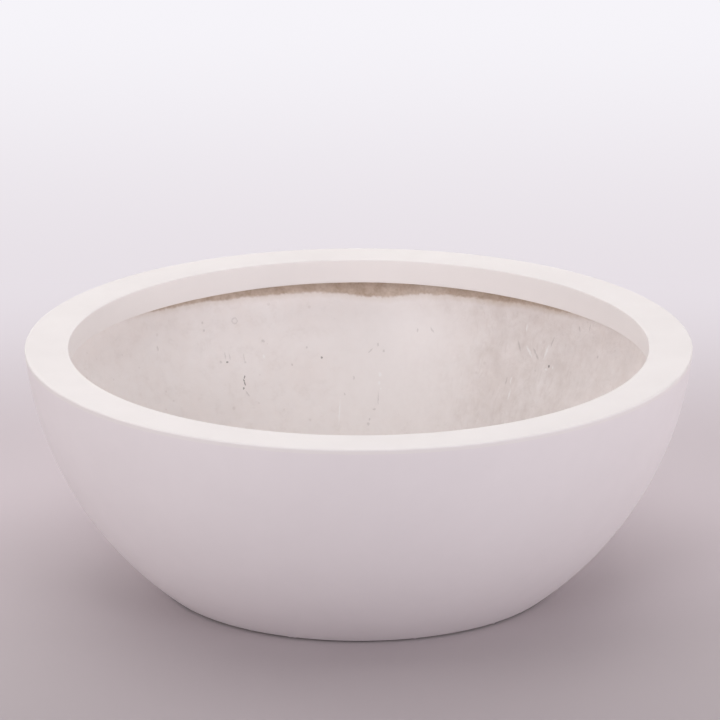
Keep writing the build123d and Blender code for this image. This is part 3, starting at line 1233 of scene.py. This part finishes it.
# %% [markdown]
# ## Dressing the pieces
#
# Each piece gets its materials, and each face its slot, chosen from where the face's middle lies.
# Then the piece is tied to the exact model: it rides on a body and stands for a node, whose own part is
# hidden.


# %% Assign materials and tie the pieces to the model
def face_middles(piece):
    """The middle of each face, as its radius from the axis and its height."""
    middles = np.empty(len(piece.data.polygons) * 3)
    piece.data.polygons.foreach_get("center", middles)
    middles = middles.reshape(-1, 3)
    return np.hypot(middles[:, 0], middles[:, 1]), middles[:, 2]


def dress(piece, materials, choose=None):
    """Gives a piece its materials; choose(radius, height) returns the slot number of each face."""
    for material in materials:
        piece.data.materials.append(material)
    if choose is not None:
        slots = choose(*face_middles(piece)).astype(np.int32)
        piece.data.polygons.foreach_set("material_index", slots)
        print(piece.name, "faces per slot", np.bincount(slots))


def skin_slots(radius, height):
    """0 on the outer face, 1 on the underside, 2 in the drain hole and on the hidden side."""
    outer = radius > wall_radius(height, 1.5 * MM)
    under = (height < underside + 0.4 * MM) & ~outer & (radius > drain_radius + 0.1 * MM)
    return np.where(outer, 0, np.where(under, 1, 2))


def inside_slots(radius, height):
    """0 on the inner face, however deep its lumps go, and 1 on the hidden side."""
    past_lumps = deepest + 0.4 * MM
    in_wall = radius > wall_radius(height, wall_thickness - past_lumps)
    in_floor = height < floor_height - past_lumps
    return np.where(in_wall | in_floor, 1, 0)


def ring_slots(radius, height):
    """0 on the moulded faces, 1 behind the lip and under the rim."""
    behind_lip = radius > lip_back - 1 * MM
    under_rim = height < joint_height + 1 * MM
    within_wall = radius < wall_radius(height, 1 * MM)
    return np.where(behind_lip & under_rim & within_wall, 1, 0)


dress(skin, [bowl_gelcoat, rubbed_base, raw_laminate], skin_slots)
dress(inside, [inside_finish, raw_laminate], inside_slots)
dress(ring, [ring_gelcoat_painted_warm, raw_laminate], ring_slots)
dress(bead, [raw_laminate])
dress(doubler, [floor_finish])
dress(plug, [rubber])

pieces = [
    (skin, "bowl_shell", "planter", "white_gelcoat"),
    (inside, "bowl_shell", "planter", "inside_coat"),
    (ring, "rim_ring", "planter", "white_gelcoat"),
    (bead, "rim_bond_bead", "planter", "raw_laminate"),
    (doubler, "base_doubler", "planter", "inside_coat"),
    (plug, "drain_plug", "plug", "black_rubber"),
]
for pad_node, pad in pads.items():
    dress(pad, [rubber])
    pieces.append((pad, pad_node, "planter", "black_rubber"))
for piece, stands_for, body, record_slot in pieces:
    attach(piece, body)
    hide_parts(stands_for)
print("pieces:", len(pieces))

# %% [markdown]
# ## The stage, the light and the camera
#
# The bowl stands on a pale studio sweep between softboxes: a large one overhead, a tall one in front
# on the left, smaller ones at both sides and one behind. The world adds only a little. Together they
# leave the soft shadow under both flanks. The floor's colour is darker in front of the bowl than
# behind it, as painted shade, and darker still in a pool just in front of it, as a painted shadow of
# the bowl. Far behind, the floor shows the lit backdrop's own colour. Only camera, glossy and
# transmission rays see that colour, so it lights nothing. The camera is far away with a long lens,
# looking down by 18 degrees.

# %% Build the stage
# The near colour and the pool colour below are painted shade and a painted shadow in front of the bowl.
floor_front_painted_shade = rgb(183, 173, 175)
floor_painted_shadow = rgb(160, 149, 153)
backdrop_low = rgb(230, 223, 229)
backdrop_high = rgb(246, 244, 249)
floor_far = rgb(208, 197, 201)
floor_size = 14.0
floor_rings = 48
sweep_mirror = 0.2


def make_floor_material():
    """Pale floor with painted shade, darker in front, and a painted shadow pool before the bowl; far off,
    the camera sees the lit backdrop's own colour.
    """
    material, tree, shader = new_material("studio_floor")
    place = object_place(tree)
    depth = node(tree, "ShaderNodeSeparateXYZ", {0: place}).outputs["Y"]
    # Painted shade: the floor's colour runs from darker in front to paler behind.
    rise = ramp(tree, depth, -0.35, 0.35)
    colour = blend_colours(tree, rise, floor_front_painted_shade, floor_far)
    # Painted shadow of the bowl: a darker pool centred in front of it.
    front_place = {0: place, 1: (0.0, -0.7, 0.0)}
    sideways = node(tree, "ShaderNodeVectorMath", front_place, operation="DISTANCE").outputs["Value"]
    painted_shadow_pool = ramp(tree, sideways, 0.75, 0.1, 0.0, 0.35)
    tree.links.new(blend_colours(tree, painted_shadow_pool, colour, floor_painted_shadow), shader.inputs["Base Color"])
    shader.inputs["Roughness"].default_value = 0.7
    shader.inputs["Specular IOR Level"].default_value = sweep_mirror
    path = node(tree, "ShaderNodeLightPath")
    seen = sums(tree, "MAXIMUM", path.outputs["Is Camera Ray"], path.outputs["Is Glossy Ray"])
    seen = sums(tree, "MAXIMUM", seen, path.outputs["Is Transmission Ray"])
    far = ramp(tree, depth, 0.45, 1.15)
    sweep_tone = blend_colours(tree, ramp(tree, depth, 0.9, 2.7), backdrop_low, backdrop_high)
    glow = node(tree, "ShaderNodeEmission", {"Color": sweep_tone, "Strength": 1.0})
    both = {0: times(tree, seen, far), 1: shader.outputs[0], 2: glow.outputs[0]}
    surface = node(tree, "ShaderNodeMixShader", both)
    output = next(n for n in tree.nodes if n.bl_idname == "ShaderNodeOutputMaterial")
    tree.links.new(surface.outputs[0], output.inputs[0])
    return material


share = np.linspace(0, 1, floor_rings + 1)[1:]
floor_profile = np.stack([floor_size * share**2, 0 * share], axis=1)[::-1]
floor_bearings = np.radians(np.arange(0, 360, 5.0))
sectors = len(floor_bearings)
floor_points = np.concatenate([swing(floor_profile, floor_bearings).reshape(-1, 3), [[0, 0, 0]]])
inner_ring = np.arange(sectors) + (floor_rings - 1) * sectors
floor_quads = grid_faces(floor_rings, sectors, False).tolist()
floor_middle = np.full(sectors, len(floor_points) - 1)
floor_fan = np.stack([inner_ring, floor_middle, np.roll(inner_ring, -1)], axis=1).tolist()
floor_mesh = bpy.data.meshes.new("studio_floor")
floor_mesh.from_pydata(floor_points.tolist(), [], floor_quads + floor_fan)
floor_mesh.materials.append(make_floor_material())
studio_floor = bpy.data.objects.new("studio_floor", floor_mesh)
bpy.context.scene.collection.objects.link(studio_floor)

# %% Light
world = bpy.data.worlds.new("studio_world")
bpy.context.scene.world = world
world.use_nodes = True
sky = world.node_tree
sky.nodes.clear()
tent = node(sky, "ShaderNodeBackground", {"Color": (1.0, 0.98, 1.0, 1.0), "Strength": 0.05})
seen = node(sky, "ShaderNodeBackground", {"Color": rgb(244, 240, 246), "Strength": 1.0})
path = node(sky, "ShaderNodeLightPath")
skies = {0: path.outputs["Is Camera Ray"], 1: tent.outputs[0], 2: seen.outputs[0]}
node(sky, "ShaderNodeOutputWorld", {0: node(sky, "ShaderNodeMixShader", skies).outputs[0]})

# Each softbox is its place, width, height, power in watts and tint.
cool = (0.985, 0.985, 1.03)
neutral = (1.01, 0.995, 0.995)
softboxes = {
    "above": ((0.0, 0.0, 3.2), 3.0, 3.0, 48, neutral),
    "tall_front": ((-2.0, -3.9, 1.6), 1.1, 2.4, 69, cool),
    "left": ((-3.2, -0.6, 2.0), 2.0, 2.0, 17, neutral),
    "left_low": ((-3.4, -1.2, 0.7), 1.2, 1.2, 21, neutral),
    "right_front": ((2.6, -3.4, 1.7), 1.6, 1.6, 55, cool),
    "right_low": ((3.4, -1.2, 0.7), 1.2, 1.2, 30, cool),
    "right_back": ((2.7, 1.0, 0.7), 1.2, 1.2, 15, neutral),
    "back_left": ((-2.2, 2.0, 1.6), 1.6, 1.6, 17, neutral),
    "backdrop": ((0.0, 3.8, 1.7), 4.0, 4.0, 80, neutral),
}
lit_point = (0, 0, 0.2)


def soft_lamp(name, place, width, height, power, tint):
    """A flat softbox at a place, turned to face the bowl."""
    data = bpy.data.lights.new(name, "AREA")
    data.shape = "RECTANGLE"
    data.size = width
    data.size_y = height
    data.energy = power
    data.color = tint
    lamp = bpy.data.objects.new(name, data)
    lamp.location = place
    towards = Vector(lit_point) - Vector(place)
    lamp.rotation_euler = towards.to_track_quat("-Z", "Y").to_euler()
    bpy.context.scene.collection.objects.link(lamp)


for title, (place, width, height, power, tint) in softboxes.items():
    soft_lamp(title + "_softbox", place, width, height, power, tint)
print("softboxes:", len(softboxes))

# %% Camera
camera_aside = 1.5 * MM
camera_distance = 6.329
camera_height = rim_height + 2.001
camera_pitch = math.radians(17.71)
lens_millimetres = 290.8
camera_data = bpy.data.cameras.new("camera")
camera_data.lens = lens_millimetres
camera_data.sensor_width = 36.0
camera_data.clip_end = 100.0
camera = bpy.data.objects.new("camera", camera_data)
camera.location = (camera_aside, -camera_distance, camera_height)
camera.rotation_euler = (math.pi / 2 - camera_pitch, 0.0, 0.0)
bpy.context.scene.collection.objects.link(camera)
bpy.context.scene.camera = camera
bpy.context.scene.view_settings.view_transform = "Standard"
